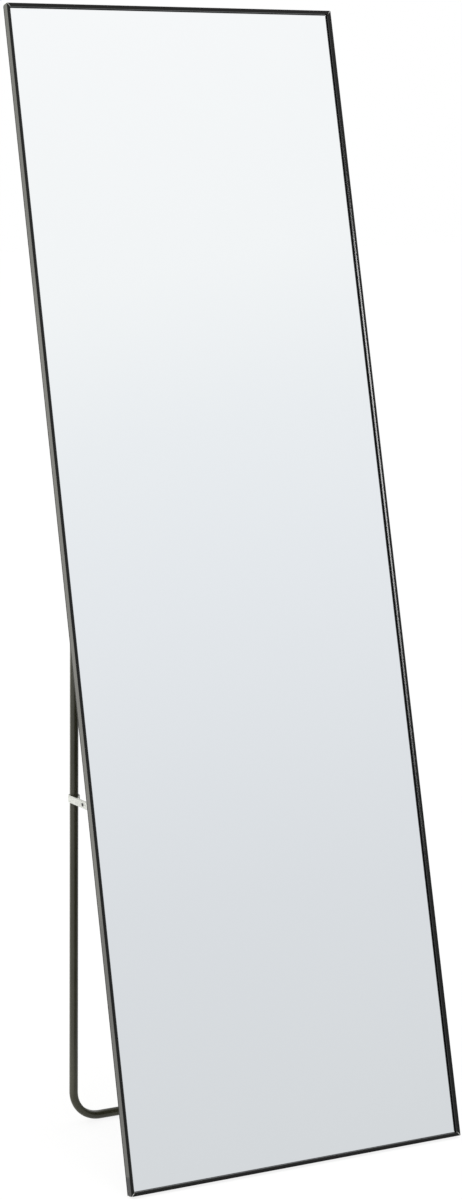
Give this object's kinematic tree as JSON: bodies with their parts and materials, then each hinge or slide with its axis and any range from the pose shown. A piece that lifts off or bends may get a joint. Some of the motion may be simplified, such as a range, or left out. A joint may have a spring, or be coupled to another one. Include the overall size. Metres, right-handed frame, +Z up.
{
  "type": "standing mirror",
  "caption": "Tall rectangular mirror in a slim black mitred frame, leaning back on a folding U shaped tube leg held open by two webbing straps, with keyhole hangers for a wall.",
  "frame": {"origin": "on the floor, under the middle of the stand's box, midway between the two sides", "axes": "+Z up, the glass faces -Y and leans back to +Y, +X to the right as seen from the front"},
  "size_m": [0.5, 0.4058, 1.5544],
  "materials": {
    "black_aluminium": "satin black anodised, fine lines along the extrusion",
    "silvered_glass": "polished",
    "film": "thin woven safety film",
    "foam": "closed cell foam",
    "board": "fibre board with a dark matt paper face",
    "cast_zinc": "cast, bare",
    "black_steel": "satin black powder coat",
    "black_screws": "black oxide",
    "zinc_plated_steel": "bright zinc plate",
    "black_plastic": "moulded, fine grain",
    "webbing": "plain woven white webbing",
    "dark_rivets": "dark lacquer"
  },
  "bodies": {
    "mirror": {"frame_left": "black_aluminium", "frame_right": "black_aluminium", "frame_top": "black_aluminium", "frame_bottom": "black_aluminium", "corner_key_top_left": "cast_zinc", "corner_key_top_right": "cast_zinc", "corner_key_bottom_left": "cast_zinc", "corner_key_bottom_right": "cast_zinc", "corner_key_screws": "black_screws", "mirror_glass": "silvered_glass", "safety_film": "film", "foam_sheet": "foam", "back_board": "board", "hinge_bracket_left": "black_steel", "hinge_bracket_right": "black_steel", "hinge_bracket_screws": "black_screws", "pivot_bolt_left": "zinc_plated_steel", "pivot_bolt_right": "zinc_plated_steel", "pivot_nut_left": "zinc_plated_steel", "pivot_nut_right": "zinc_plated_steel", "inner_washers": "zinc_plated_steel", "outer_washers": "zinc_plated_steel", "strap_left": "webbing", "strap_right": "webbing", "strap_rivets": "dark_rivets", "strap_anchor_left": "black_steel", "strap_anchor_right": "black_steel", "strap_anchor_screws": "black_screws", "strap_anchor_rivets": "dark_rivets", "wall_hanger_left": "zinc_plated_steel", "wall_hanger_right": "zinc_plated_steel", "wall_hanger_screws": "zinc_plated_steel"},
    "leg": {"leg": "black_steel", "leg_plug_left": "black_plastic", "leg_plug_right": "black_plastic"}
  },
  "joints": [
    {"name": "leg_fold", "type": "hinge", "parent": "mirror", "child": "leg", "pos_m": [0, 0.0675, 0.97465], "axis": [1, 0, 0], "range_deg": [-15.5, 0], "deforming": ["strap_left", "strap_right", "strap_rivets"]}
  ]
}
